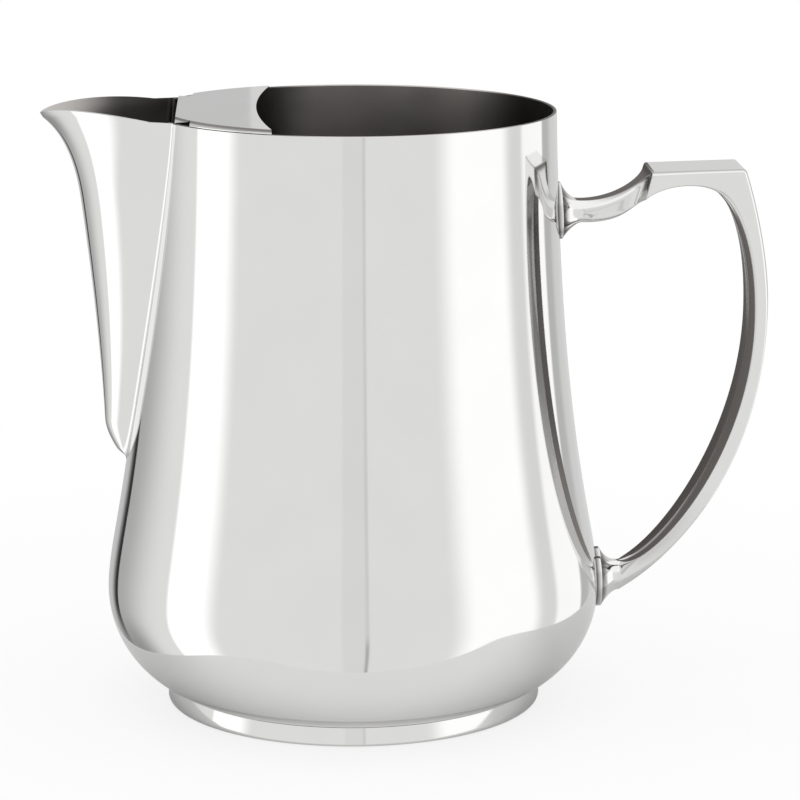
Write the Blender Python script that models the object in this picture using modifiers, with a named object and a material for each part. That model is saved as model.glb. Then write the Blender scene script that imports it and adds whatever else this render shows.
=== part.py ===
"""A bell-shaped metal water pitcher with a soldered spout, an ice guard and a cast strap handle.

All sizes are in metres. The body's axis is the Z axis of the empty "pitcher": the spout points
along -X and the handle along +X. The foot stands on z = 0.
"""

import math

import bmesh
import bpy
import numpy as np
from mathutils import Vector
from mathutils.geometry import interpolate_bezier

# Clearance at every soldered joint
SOLDER_GAP = 0.0003

# Body: a spun shell that is turned from rim to floor
RIM_HEIGHT = 0.172
RIM_RADIUS = 0.0581
RIM_FLARE = 0.02
RIM_PULL = 0.100
BELLY_RADIUS = 0.07135
BELLY_PULL = 0.0175
UNDER_RADIUS = 0.0303
FLOOR_CLEARANCE = 0.0027
WALL = 0.0010
RIM_ROUNDING = 0.0003
BELLY_HEIGHT = FLOOR_CLEARANCE + UNDER_RADIUS

# Foot ring
FOOT_TOP_RADIUS = 0.0537
FOOT_BOTTOM_RADIUS = 0.0543
FOOT_BAND = 0.0029
FOOT_EDGE_RADIUS = 0.0006

# Spout: heights count down from the rim, and proud sizes outward from the wall
SPOUT_DEPTH = 0.1011
SPOUT_HALF_WIDTH = 0.0278
SPOUT_END_HALF_WIDTH = 0.0025
SPOUT_SHEET = 0.0009
SPOUT_FLANGE = 0.0018
KNEE_RISE = 0.0122
KNEE_PROUD = 0.0074
LIP_DEPTH = 0.025
LIP_START_PROUD = 0.0181
LIP_PROUD = 0.0298
LIP_CROWN = 0.0014
SIDE_RUN = 0.56
SIDE_CLOSE = 0.84
NOSE_ROUND = 0.44
WINDOW_INSET = 0.0012

# Pulls of the spout's curves: shares of the half width and depth, or of the stretch they bend
SEAM_END_PULL = (0.15, 0.07)
SEAM_RIM_PULL = (-0.10, -0.32)
TOE_PULL = (0.40, 0.28)
KNEE_PULL = 0.07
FRONT_PULL = 0.30
LIP_START_PULL = 0.16
LIP_PULL = (-0.60, -0.22)

# Ice guard: insets count inward from the rim, along the line from the spout to the handle
GUARD_SHEET = 0.0007
GUARD_EDGE = 0.0002
GUARD_BEVEL = 0.0024
GUARD_FRONT_INSET = 0.0084
GUARD_BEVEL_INSET = 0.0126
GUARD_BACK_INSET = 0.0349
GUARD_HOLLOW = 0.0040

# Handle plates and flared handle ends
PLATE_SHEET = 0.0006
UPPER_PLATE_RADIUS = 0.0082
LOWER_PLATE_RADIUS = 0.0087
UPPER_MOUNT_DROP = 0.0294
LOWER_MOUNT_RISE = 0.0010
FLARE_LENGTH = 0.0056
TAIL_LENGTH = 0.0052
FLARE_INSET = 0.0003
FLARE_CURVE = 2.2
FLARE_CURVE_ABOVE = 2.8
FLARE_CURVE_BELOW = 1.6
NECK_WIDTH = 0.0110
NECK_THICKNESS = 0.0062
TAIL_WIDTH = 0.0095
TAIL_THICKNESS = 0.0086
TAIL_RISE = 0.0005

# Handle strap
REST_DROP = 0.0172
REST_RUN = 0.0245
REST_LENGTH = 0.0268
REST_RISE = 0.0007
REST_WIDTH = 0.0224
GRIP_WIDTH = 0.0240
GRIP_STANDOFF = 0.04715
GRIP_DROP = 0.0555
GRIP_REACH = BELLY_RADIUS + GRIP_STANDOFF
STRAP_THICKNESS = 0.0039
STRAP_EDGE = 0.0009
STRAP_RIDGE = 0.0003
ARM_SPREAD = 8.0
ARM_SQUARING = 0.6
TAIL_NARROWING = 1.7
TAIL_ROUNDING = 16.0

# Inner corners of the strap, in strap thicknesses from the outer ones
HEEL_UNDER = (-0.45, -2.00)
CORNER_UNDER = (-2.00, -1.70)
GRIP_UNDER = (-1.00, -0.90)

# Pulls of the strap's curves: (heading in degrees, share of the stretch) at both ends of each
# stretch, which are the arm, the thumb rest, the bend and the sweep to the tail
OUTER_PULLS = (
    ((0, 0.42), (-118, 0.20)),
    ((1.5, 0.33), (181.5, 0.33)),
    ((-71, 0.24), (90, 0.34)),
    ((-90, 0.33), (37, 0.42)),
)
INNER_PULLS = (
    ((0, 0.45), (-134, 0.26)),
    ((42, 0.24), (145, 0.22)),
    ((-35, 0.19), (90, 0.50)),
    ((-90, 0.45), (0, 0.10)),
)

# Fineness of the facets
TURN_SEGMENTS = 64
PLATE_SEGMENTS = 32
SHOULDER_STEPS = 20
UNDER_STEPS = 9
SPOUT_ROWS = 24
SPOUT_COLUMNS = 28
NOSE_STEPS = 10
FLANGE_SHARE = 0.22
GUARD_BACK_STEPS = 12
CORNER_STEPS = 4
FLARE_STEPS = 5
ARM_STEPS = 7
REST_STEPS = 8
BEND_STEPS = 8
SWEEP_STEPS = 14


def clear_scene():
    for obj in list(bpy.data.objects):
        bpy.data.objects.remove(obj, do_unlink=True)


def make_collection(name):
    collection = bpy.data.collections.new(name)
    bpy.context.scene.collection.children.link(collection)
    return collection


def make_material(name, colour, roughness):
    material = bpy.data.materials.new(name)
    material.use_nodes = True
    shader = material.node_tree.nodes["Principled BSDF"]
    shader.inputs["Base Color"].default_value = (*colour, 1.0)
    shader.inputs["Metallic"].default_value = 1.0
    shader.inputs["Roughness"].default_value = roughness
    return material


def make_object(name, bm, collection, axis, material=None):
    """A mesh object on the pitcher's axis, made from a bmesh that is freed here."""
    mesh = bpy.data.meshes.new(name)
    bm.to_mesh(mesh)
    bm.free()
    obj = bpy.data.objects.new(name, mesh)
    obj.parent = axis
    collection.objects.link(obj)
    if material is not None:
        mesh.materials.append(material)
        mesh.shade_smooth()
        mesh.set_sharp_from_angle(angle=math.radians(35))
    return obj


def hide_cutter(obj):
    obj.hide_render = True
    obj.display_type = "WIRE"
    return obj


def cut(obj, cutter, operation="DIFFERENCE"):
    boolean = obj.modifiers.new("cut_" + cutter.name, "BOOLEAN")
    boolean.operation = operation
    boolean.object = cutter


def turn(obj):
    """Turns a profile in the XZ plane about the Z axis."""
    screw = obj.modifiers.new("turn", "SCREW")
    screw.steps = TURN_SEGMENTS
    screw.render_steps = TURN_SEGMENTS
    screw.use_merge_vertices = True
    screw.merge_threshold = 0.00005


def profile_mesh(points, closed):
    """A bmesh of edges through (radius, height) points."""
    bm = bmesh.new()
    verts = [bm.verts.new((radius, 0.0, height)) for radius, height in points]
    for first, second in zip(verts, verts[1:]):
        bm.edges.new((first, second))
    if closed:
        bm.edges.new((verts[-1], verts[0]))
    return bm


def bezier(start, start_pull, end_pull, end, steps):
    """Points of a cubic curve whose pulls are offsets from its two ends."""
    first, last = Vector((*start, 0.0)), Vector((*end, 0.0))
    handles = first + Vector((*start_pull, 0.0)), last + Vector((*end_pull, 0.0))
    return [point.xy for point in interpolate_bezier(first, *handles, last, steps + 1)]


def heading(degrees, length):
    angle = math.radians(degrees)
    return Vector((math.cos(angle), math.sin(angle))) * length


# Body

def body_profile(offset=0.0):
    """(radius, height) points of the outer wall, from the rim to the floor's centre."""
    shoulder = bezier(
        (RIM_RADIUS, RIM_HEIGHT),
        (RIM_FLARE * RIM_PULL, -RIM_PULL),
        (0.0, BELLY_PULL),
        (BELLY_RADIUS, BELLY_HEIGHT),
        SHOULDER_STEPS,
    )
    points = [Vector((point.x + offset, point.y)) for point in shoulder]
    for step in range(1, UNDER_STEPS + 1):
        turned = heading(-90 * step / UNDER_STEPS, UNDER_RADIUS + offset)
        points.append(Vector((BELLY_RADIUS - UNDER_RADIUS, BELLY_HEIGHT)) + turned)
    return points + [Vector((0.0, FLOOR_CLEARANCE - offset))]


def body_radius(height):
    """Outer radius of the wall at a height above the belly's underside."""
    upward = sorted(body_profile()[:-1], key=lambda point: point.y)
    return float(np.interp(height, [p.y for p in upward], [p.x for p in upward]))


def build_body(parts, cutters, axis):
    steel = make_material("polished_body", (0.80, 0.80, 0.79), 0.06)
    body = make_object("body_shell", profile_mesh(body_profile(), False), parts, axis, steel)
    turn(body)
    shell = body.modifiers.new("wall", "SOLIDIFY")
    shell.thickness = WALL
    shell.offset = -1
    shell.use_even_offset = True
    rim = body.modifiers.new("rim", "BEVEL")
    rim.width = RIM_ROUNDING
    rim.segments = 2
    rim.limit_method = "ANGLE"
    rim.angle_limit = math.radians(60)
    cut(body, build_window(cutters, axis))


def build_window(cutters, axis):
    """The opening behind the spout: the seam's outline, set in and driven through the wall."""
    inset = [
        (max(half - WINDOW_INSET, SPOUT_END_HALF_WIDTH / 2), height)
        for half, height in spout_seam()
    ]
    lowest = RIM_HEIGHT - SPOUT_DEPTH + SPOUT_FLANGE + WINDOW_INSET
    side = [(half, height) for half, height in inset if height > lowest]
    side.append((side[-1][0], RIM_HEIGHT + LIP_PROUD))
    outline = side + [(-half, height) for half, height in reversed(side)]
    bm = bmesh.new()
    outer = -2 * BELLY_RADIUS
    face = bm.faces.new([bm.verts.new((outer, half, height)) for half, height in outline])
    pushed = bmesh.ops.extrude_face_region(bm, geom=[face])["geom"]
    inner = [item for item in pushed if isinstance(item, bmesh.types.BMVert)]
    bmesh.ops.translate(bm, verts=inner, vec=(-outer - RIM_RADIUS / 3, 0.0, 0.0))
    bmesh.ops.recalc_face_normals(bm, faces=bm.faces)
    return hide_cutter(make_object("spout_window", bm, cutters, axis))


def build_blank(cutters, axis):
    """The body as a solid, a solder gap larger all round, that shapes what seats on the wall."""
    profile = [Vector((0.0, RIM_HEIGHT))] + body_profile(SOLDER_GAP)
    blank = make_object("body_blank", profile_mesh(profile, False), cutters, axis)
    turn(blank)
    return hide_cutter(blank)


# Foot

def build_foot(parts, axis):
    centre = Vector((BELLY_RADIUS - UNDER_RADIUS, BELLY_HEIGHT))
    reach = UNDER_RADIUS + SOLDER_GAP

    def under_body(radius):
        sideways = radius - centre.x
        return radius, centre.y - math.sqrt(reach**2 - sideways**2)

    edge = Vector((FOOT_BOTTOM_RADIUS - FOOT_EDGE_RADIUS, FOOT_EDGE_RADIUS))
    outer = [under_body(FOOT_TOP_RADIUS)]
    for turned in (0, -30, -60, -90):
        outer.append(edge + heading(turned, FOOT_EDGE_RADIUS))
    inner = FOOT_TOP_RADIUS - FOOT_BAND
    band = FOOT_BOTTOM_RADIUS - FOOT_BAND
    profile = outer + [(band, 0.0), under_body(inner), under_body((inner + FOOT_TOP_RADIUS) / 2)]
    steel = make_material("polished_foot", (0.79, 0.79, 0.78), 0.08)
    turn(make_object("foot_ring", profile_mesh(profile, True), parts, axis, steel))


# Spout

def spout_seam():
    """(half width, height) points up one side of the line where the spout meets the wall."""
    def pull(shares):
        return Vector((shares[0] * SPOUT_HALF_WIDTH, shares[1] * SPOUT_DEPTH))

    start = Vector((SPOUT_END_HALF_WIDTH, RIM_HEIGHT - SPOUT_DEPTH))
    top = Vector((SPOUT_HALF_WIDTH, RIM_HEIGHT))
    return bezier(start, pull(SEAM_END_PULL), pull(SEAM_RIM_PULL), top, SPOUT_ROWS)


def nose_line():
    """(distance proud of the wall, height) points up the spout's front, inside the sheet."""
    end = Vector((0.0, RIM_HEIGHT - SPOUT_DEPTH))
    knee = end + Vector((KNEE_PROUD, KNEE_RISE))
    lip = Vector((LIP_START_PROUD, RIM_HEIGHT - LIP_DEPTH))
    edge = Vector((LIP_PROUD, RIM_HEIGHT))
    run = lip - knee
    toe_pull = (knee - end) * Vector(TOE_PULL)
    lip_pull = (edge - lip) * Vector(LIP_PULL)
    toe = bezier(end, toe_pull, -KNEE_PULL * run, knee, NOSE_STEPS)
    front = bezier(knee, FRONT_PULL * run, -FRONT_PULL * run, lip, NOSE_STEPS)
    rolled = bezier(lip, LIP_START_PULL * run, lip_pull, edge, NOSE_STEPS)
    line = toe + front[1:] + rolled[1:]
    return [(max(point.x - SPOUT_SHEET, 0.0), point.y) for point in line]


def spout_section(half, height, proud):
    """Corner points of half a section: flange edge, wall corner, bend end and the side's curve."""
    radius = body_radius(height) + SOLDER_GAP
    around = math.asin(half / radius)
    corner = Vector((-radius * math.cos(around), radius * math.sin(around)))
    lapped = around + SPOUT_FLANGE / radius
    flange = Vector((-radius * math.cos(lapped), radius * math.sin(lapped)))
    nose = Vector((-radius - proud, 0.0))
    side = Vector((corner.x + SIDE_RUN * (nose.x - corner.x), SIDE_CLOSE * half))
    front = Vector((nose.x, NOSE_ROUND * half))
    return flange, corner, side, front, nose


def cubic(points, share):
    rest = 1.0 - share
    first, second, third, last = points
    return (first * rest**3 + second * 3 * share * rest**2
            + third * 3 * share**2 * rest + last * share**3)


def spout_point(across, half, height, proud):
    """A point of the spout's inner surface: across runs from -1 at one flange to 1 at the other."""
    flange, corner, side, front, nose = spout_section(half, height, proud)
    bend_share = min(0.35, SPOUT_FLANGE / (corner - nose).length)
    bend = cubic((corner, side, front, nose), bend_share)
    from_nose = abs(across)
    if from_nose > 1.0 - FLANGE_SHARE:
        share = (from_nose - 1.0 + FLANGE_SHARE) / FLANGE_SHARE
        point = bend * (1 - share)**2 + corner * 2 * share * (1 - share) + flange * share**2
        crown = 0.0
    else:
        along = bend_share + (1.0 - bend_share) * (1.0 - from_nose / (1.0 - FLANGE_SHARE))
        point = cubic((corner, side, front, nose), along)
        near_rim = max(0.0, 1.0 - (RIM_HEIGHT - height) / LIP_DEPTH)
        crown = LIP_CROWN * 4 * along * (1.0 - along) * near_rim**2
    return Vector((point.x, math.copysign(point.y, -across), height + crown))


def build_spout(parts, axis):
    seam = spout_seam()
    line = nose_line()
    heights = [height for _, height in line]
    prouds = [proud for proud, _ in line]
    bm = bmesh.new()
    bmesh.ops.create_grid(bm, x_segments=SPOUT_COLUMNS, y_segments=SPOUT_ROWS, size=1.0)
    for vert in bm.verts:
        row = round((vert.co.y + 1.0) / 2.0 * SPOUT_ROWS)
        half, height = seam[row]
        proud = float(np.interp(height, heights, prouds))
        vert.co = spout_point(vert.co.x, half, height, proud)
    steel = make_material("polished_spout", (0.80, 0.80, 0.79), 0.07)
    spout = make_object("spout", bm, parts, axis, steel)
    sheet = spout.modifiers.new("sheet", "SOLIDIFY")
    sheet.thickness = SPOUT_SHEET
    sheet.offset = 1
    sheet.use_even_offset = True


# Ice guard

def on_circle(radius, sideways):
    """The point of a circle about the axis that lies this far towards the spout, on the +Y side."""
    return Vector((-sideways, math.sqrt(radius**2 - sideways**2)))


def guard_outline():
    """The guard seen from above: straight at the spout, hollowed at the mouth."""
    flat = RIM_RADIUS - GUARD_BEVEL
    beyond = RIM_RADIUS + GUARD_BEVEL
    front = RIM_RADIUS - GUARD_FRONT_INSET
    bevel_start = RIM_RADIUS - GUARD_BEVEL_INSET
    side = [on_circle(flat, front)]
    side.append(on_circle(flat, (front + bevel_start) / 2))
    side.append(on_circle(flat, bevel_start))
    side.append(on_circle(beyond, bevel_start))
    side.append(on_circle(beyond, RIM_RADIUS - GUARD_BACK_INSET))
    corner = side[-1]
    back = []
    for step in range(1, GUARD_BACK_STEPS):
        share = 1.0 - 2 * step / GUARD_BACK_STEPS
        back.append(Vector((corner.x - GUARD_HOLLOW * (1 - share**2), corner.y * share)))
    return side + back + [Vector((point.x, -point.y)) for point in reversed(side)]


def build_guard(parts, cutters, axis):
    """A flat plate soldered on the rim, turned with a bevelled edge and trimmed to its outline."""
    under = RIM_HEIGHT + SOLDER_GAP
    top = under + GUARD_SHEET
    profile = [(0.0, top), (RIM_RADIUS - GUARD_BEVEL, top), (RIM_RADIUS, under + GUARD_EDGE),
               (RIM_RADIUS, under), (0.0, under)]
    bm = bmesh.new()
    bm.faces.new([bm.verts.new((*point, RIM_HEIGHT)) for point in guard_outline()])
    trim = make_object("guard_trim", bm, cutters, axis)
    tall = trim.modifiers.new("tall", "SOLIDIFY")
    tall.thickness = 2 * (top - RIM_HEIGHT + GUARD_BEVEL)
    tall.offset = 0
    steel = make_material("polished_guard", (0.78, 0.78, 0.77), 0.12)
    guard = make_object("ice_guard", profile_mesh(profile, False), parts, axis, steel)
    turn(guard)
    cut(guard, hide_cutter(trim), "INTERSECT")


# Handle

def mount_face(height):
    """Distance of a handle plate's outer face from the axis."""
    return body_radius(height) + SOLDER_GAP + PLATE_SHEET


def wall_lean(height):
    """How far the wall leans out for each unit of height, where a plate stands on it."""
    rise = PLATE_SHEET
    return (body_radius(height + rise) - body_radius(height - rise)) / (2 * rise)


def build_plate(name, height, radius, parts, axis, blank):
    face = mount_face(height)
    outward = Vector((1.0, 0.0, -wall_lean(height))).normalized()
    depth = face - body_radius(height) + radius / 2
    bm = bmesh.new()
    bmesh.ops.create_cone(bm, cap_ends=True, segments=PLATE_SEGMENTS,
                          radius1=radius, radius2=radius, depth=depth)
    steel = make_material("polished_" + name, (0.76, 0.76, 0.75), 0.10)
    plate = make_object(name, bm, parts, axis, steel)
    plate.rotation_euler.y = math.atan2(outward.x, outward.z)
    plate.location = Vector((face, 0.0, height)) - outward * depth / 2
    cut(plate, blank)


def rounded_section(inner, outer, width, radius, ridge):
    """Points round a rounded rectangle between two outline points, ridged on its inner side."""
    middle = (inner + outer) / 2
    out = (outer - inner).normalized()
    tall = (outer - inner).length / 2
    half = width / 2
    radius = min(radius, tall, half)
    points = []
    for corner, (side, up) in enumerate(((1, 1), (-1, 1), (-1, -1), (1, -1))):
        for step in range(CORNER_STEPS + 1):
            angle = math.pi / 2 * (corner + step / CORNER_STEPS)
            sideways = side * (half - radius) + radius * math.cos(angle)
            upward = up * (tall - radius) + radius * math.sin(angle)
            place = middle + out * upward
            points.append(Vector((place.x, sideways, place.y)))
        if (side, up) == (-1, -1):
            place = middle - out * (tall + ridge)
            points.append(Vector((place.x, 0.0, place.y)))
    return points


def flare_stations(height, radius, rise, thickness, width, length, outer_side):
    """Stations of a round flared end, from its plate outwards; outer_side is 1 above, -1 below."""
    face = mount_face(height) + SOLDER_GAP
    lean = wall_lean(height)
    above = thickness / 2 + rise
    below = thickness / 2 - rise
    stations = []
    for step in range(FLARE_STEPS):
        share = 1.0 - step / FLARE_STEPS
        spread = share**FLARE_CURVE
        middle = Vector((face + length * (1.0 - share), height))
        upward = Vector((lean * spread, 1.0)).normalized()
        top = above + (radius - above) * share**FLARE_CURVE_ABOVE
        bottom = below + (radius - below) * share**FLARE_CURVE_BELOW
        ends = (middle - upward * bottom, middle + upward * top)
        wide = width + (2 * radius - width) * spread
        stations.append((*ends[::outer_side], wide, (top + bottom) / 2, 0.0))
    return stations


def ramp(first, last, power, steps):
    return [first + (last - first) * (step / steps)**power for step in range(steps + 1)]


def swell(first, last, steps):
    """Values that leave the first and reach the last without a kink."""
    shares = [step / steps for step in range(steps + 1)]
    return [first + (last - first) * share**2 * (3 - 2 * share) for share in shares]


def strap_curves(ends, marks, pulls):
    """The four curves of one face of the strap, with pulls as shares of the stretch between marks."""
    curves = []
    for index, steps in enumerate((ARM_STEPS, REST_STEPS, BEND_STEPS, SWEEP_STEPS)):
        stretch = (marks[index + 1] - marks[index]).length
        (start_heading, start_share), (end_heading, end_share) = pulls[index]
        start_pull = heading(start_heading, start_share * stretch)
        end_pull = heading(end_heading, end_share * stretch)
        curves.append(bezier(ends[index], start_pull, end_pull, ends[index + 1], steps))
    return curves


def handle_stations():
    """(inner point, outer point, width, edge radius, ridge) of each section, from the top down."""
    upper = RIM_HEIGHT - UPPER_MOUNT_DROP
    lower = BELLY_HEIGHT + LOWER_MOUNT_RISE
    upper_face = mount_face(upper) + SOLDER_GAP
    lower_face = mount_face(lower) + SOLDER_GAP
    half_neck = Vector((0.0, NECK_THICKNESS / 2))
    half_tail = Vector((0.0, TAIL_THICKNESS / 2))

    neck = Vector((upper_face + FLARE_LENGTH, upper))
    heel = Vector((upper_face + REST_RUN, RIM_HEIGHT - REST_DROP))
    corner = heel + Vector((REST_LENGTH, REST_RISE))
    apex = Vector((GRIP_REACH, RIM_HEIGHT - GRIP_DROP))
    tail = Vector((lower_face + TAIL_LENGTH, lower + TAIL_RISE))
    under = [STRAP_THICKNESS * Vector(place) for place in (HEEL_UNDER, CORNER_UNDER, GRIP_UNDER)]
    outer_ends = (neck + half_neck, heel, corner, apex, tail - half_tail)
    inner_ends = (neck - half_neck, heel + under[0], corner + under[1], apex + under[2],
                  tail + half_tail)
    outer = strap_curves(outer_ends, (neck, heel, corner, apex, tail), OUTER_PULLS)
    inner = strap_curves(inner_ends, (neck, heel, corner, apex, tail), INNER_PULLS)
    widths = (
        ramp(NECK_WIDTH, REST_WIDTH, ARM_SPREAD, ARM_STEPS),
        ramp(REST_WIDTH, REST_WIDTH, 1.0, REST_STEPS),
        swell(REST_WIDTH, GRIP_WIDTH, BEND_STEPS),
        ramp(GRIP_WIDTH, TAIL_WIDTH, TAIL_NARROWING, SWEEP_STEPS),
    )
    edges = (
        ramp(NECK_THICKNESS / 2, STRAP_EDGE, ARM_SQUARING, ARM_STEPS),
        ramp(STRAP_EDGE, STRAP_EDGE, 1.0, REST_STEPS),
        ramp(STRAP_EDGE, STRAP_EDGE, 1.0, BEND_STEPS),
        ramp(STRAP_EDGE, TAIL_THICKNESS / 2, TAIL_ROUNDING, SWEEP_STEPS),
    )
    ridges = (
        ramp(0.0, STRAP_RIDGE, ARM_SPREAD, ARM_STEPS),
        ramp(STRAP_RIDGE, STRAP_RIDGE, 1.0, REST_STEPS),
        ramp(STRAP_RIDGE, STRAP_RIDGE, 1.0, BEND_STEPS),
        ramp(STRAP_RIDGE, 0.0, TAIL_ROUNDING, SWEEP_STEPS),
    )
    stations = flare_stations(upper, UPPER_PLATE_RADIUS - FLARE_INSET, 0.0,
                              NECK_THICKNESS, NECK_WIDTH, FLARE_LENGTH, 1)
    for number, run in enumerate(zip(inner, outer, widths, edges, ridges)):
        shared = 1 if number else 0
        stations += list(zip(*run))[shared:]
    end = flare_stations(lower, LOWER_PLATE_RADIUS - FLARE_INSET, TAIL_RISE,
                         TAIL_THICKNESS, TAIL_WIDTH, TAIL_LENGTH, -1)
    return stations + end[::-1]


def build_handle(parts, axis):
    bm = bmesh.new()
    rings = []
    for station in handle_stations():
        rings.append([bm.verts.new(point) for point in rounded_section(*station)])
    for ring, following in zip(rings, rings[1:]):
        for index, vert in enumerate(ring):
            before = index - 1
            bm.faces.new((ring[before], vert, following[index], following[before]))
    bm.faces.new(rings[0])
    bm.faces.new(rings[-1])
    bmesh.ops.recalc_face_normals(bm, faces=bm.faces)
    steel = make_material("polished_handle", (0.77, 0.77, 0.76), 0.10)
    make_object("handle", bm, parts, axis, steel)


def main():
    clear_scene()
    parts = make_collection("water_pitcher")
    cutters = make_collection("cutters")
    axis = bpy.data.objects.new("pitcher", None)
    axis.location.x = (RIM_RADIUS + LIP_PROUD - GRIP_REACH) / 2
    parts.objects.link(axis)
    blank = build_blank(cutters, axis)
    build_body(parts, cutters, axis)
    build_foot(parts, axis)
    build_spout(parts, axis)
    build_guard(parts, cutters, axis)
    upper = RIM_HEIGHT - UPPER_MOUNT_DROP
    lower = BELLY_HEIGHT + LOWER_MOUNT_RISE
    build_plate("upper_handle_plate", upper, UPPER_PLATE_RADIUS, parts, axis, blank)
    build_plate("lower_handle_plate", lower, LOWER_PLATE_RADIUS, parts, axis, blank)
    build_handle(parts, axis)


main()
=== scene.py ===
"""A polished water pitcher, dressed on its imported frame.

The spun body, the soldered spout, the ice guard, the foot band, the cast strap handle and its two
pads are modelled again at a mirror's fineness. The body's axis stands at x = AXIS: the spout
points along -X and the handle along +X. All sizes are in metres.
"""

import math

import bmesh
import bpy
import numpy as np
from mathutils import Matrix, Vector
from mathutils.geometry import interpolate_bezier


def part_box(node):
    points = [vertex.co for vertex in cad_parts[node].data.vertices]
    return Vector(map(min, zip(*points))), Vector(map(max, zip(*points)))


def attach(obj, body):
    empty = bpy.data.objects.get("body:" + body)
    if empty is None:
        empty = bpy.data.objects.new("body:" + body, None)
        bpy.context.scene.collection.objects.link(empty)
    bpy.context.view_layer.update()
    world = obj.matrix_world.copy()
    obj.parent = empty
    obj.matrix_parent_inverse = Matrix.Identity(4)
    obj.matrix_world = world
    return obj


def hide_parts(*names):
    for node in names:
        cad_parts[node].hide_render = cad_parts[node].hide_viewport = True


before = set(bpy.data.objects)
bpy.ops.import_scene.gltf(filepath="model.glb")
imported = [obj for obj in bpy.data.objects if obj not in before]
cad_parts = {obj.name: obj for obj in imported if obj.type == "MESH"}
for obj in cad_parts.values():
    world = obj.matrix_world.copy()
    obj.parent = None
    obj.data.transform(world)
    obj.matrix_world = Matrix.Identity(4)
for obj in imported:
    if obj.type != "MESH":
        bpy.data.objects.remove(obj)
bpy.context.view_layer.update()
BODY_LOW, BODY_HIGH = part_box("body_shell")
AXIS = (BODY_LOW.x + BODY_HIGH.x) / 2

bl_info = {
    "name": "Polished Water Pitcher",
    "version": (1, 0, 0),
    "blender": (4, 5, 0),
    "location": "3D View > Sidebar > Pitcher",
    "description": "Builds a polished water pitcher around its packed frame",
    "category": "Add Mesh",
}

# Pulls of the spout's curves: shares of the half width and depth, or of the stretch they bend
SEAM_END_PULL = (0.15, 0.07)
SEAM_RIM_PULL = (-0.10, -0.32)
TOE_PULL = (0.40, 0.28)
KNEE_PULL = 0.07
FRONT_PULL = 0.30
LIP_START_PULL = 0.16
LIP_PULL = (-0.60, -0.22)
SIDE_RUN = 0.56
SIDE_CLOSE = 0.84
NOSE_ROUND = 0.56
LIP_ROUND = 0.08

# Fillet beside the spout's seam: its share of a row's points, its reach in flange widths, and the
# largest share of the side that it may take
FLANGE_SHARE = 0.26
FILLET_REACH = 2.0
FILLET_LIMIT = 0.35

# Crown of the lip's edge: the factor that makes its top about 1, and how steeply it falls to the
# point
CROWN_SCALE = 5.4
CROWN_FALL = 1.5

# Thin border of the spout's sheet: its height over the spout's foot, its clearance over the wall, and
# the share of the sheet's thickness that is left there
FOOT_THINNING = 0.0040
BORDER_CLEARANCE = 0.00004
BORDER_THICKNESS = 0.08

# Height under the window in which the wall's columns draw together
WINDOW_EASE = 0.030

# Shares of the solder's clearance that stay open over the foot band, and under the pads and handle
FOOT_SEAT = 0.2
PAD_SEAT = 0.1

# Edge roundings: of the lip and the pads in sheet thicknesses, and the share of half a strap's
# thickness that its own may take
LIP_EDGE = 0.3
PAD_EDGE = 0.4
EDGE_LIMIT = 0.96

# Lean of the foot band's outer side in degrees
FOOT_LEAN = 12

# Inner corners of the strap, in strap thicknesses from the outer ones
HEEL_UNDER = (-0.45, -2.00)
CORNER_UNDER = (-2.00, -1.70)
GRIP_UNDER = (-1.00, -0.90)

# Pulls of the strap's curves: (heading in degrees, share of the stretch) at both ends of each
# stretch, which are the arm, the thumb rest, the bend and the sweep to the tail
OUTER_PULLS = (
    ((0, 0.42), (-118, 0.20)),
    ((1.5, 0.33), (181.5, 0.33)),
    ((-71, 0.24), (90, 0.34)),
    ((-90, 0.33), (37, 0.42)),
)
INNER_PULLS = (
    ((0, 0.45), (-134, 0.26)),
    ((42, 0.24), (145, 0.22)),
    ((-35, 0.19), (90, 0.50)),
    ((-90, 0.45), (0, 0.10)),
)

# Powers of the handle's tapers: its flared ends, the arm's width and edges, the tail's likewise
FLARE_CURVE = 2.2
FLARE_CURVE_ABOVE = 2.8
FLARE_CURVE_BELOW = 1.6
ARM_SPREAD = 8.0
ARM_SQUARING = 0.6
TAIL_NARROWING = 1.7
TAIL_ROUNDING = 16.0

# Fineness of the meshes, and of the wall and curves that places are read from
BODY_TURNS = 240
SHOULDER_ROWS = 100
UNDER_ROWS = 44
READ_SHOULDER_ROWS = 900
READ_UNDER_ROWS = 400
READ_CURVE_STEPS = 200
FLOOR_RINGS = 4
WINDOW_COLUMNS = 18
SPOUT_ROWS = 144
SPOUT_COLUMNS = 168
GUARD_TURNS = 480
HOLLOW_CUTS = 47
FOOT_SIDE_STEPS = 8
FOOT_EDGE_STEPS = 10
FOOT_SEAT_STEPS = 5
STRAP_STEPS = (64, 56, 64, 128)
STRAP_EASE_STEPS = 2
FLARE_STEPS = 20
CORNER_STEPS = 8
PAD_TURNS = 96
PAD_EDGE_STEPS = 6
PAD_RINGS = 8
ROUNDING_SEGMENTS = 3

# Angles in degrees past which an edge between two faces stays sharp
GUARD_SHARP = 8
FOOT_SHARP = 30
HANDLE_SHARP = 50
PAD_SHARP = 40

# Distances within which two points are one, or a point lies on a plane
SAME_POINT = 1e-7
ON_PLANE = 1e-6

# How dark the strap is painted on its outer edges, and on the two halves of its inner face, whose
# patina has painted shade over it, the far half darker as the shaded side
EDGE_DARKENING = 0.55
NEAR_PATINA_AND_SHADE = 0.45
FAR_PATINA_AND_SHADE = 0.95

# Where the darkening fades: round an outer edge; the painted shade in the heel's crease, along the
# arm to the heel and down from its top, as shares; the painted shade at the joints, from the handle's
# ends, as sections; and the painted shadow at the guard's crease, in the guard's gaps
EDGE_FADE = (0.35, 0.60)
HEEL_FADE = (0.80, 0.94)
TOP_FADE = (0.45, 0.75)
END_FADE = (1, 8)
CREASE_FADE = (0.1, 0.9)

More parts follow.
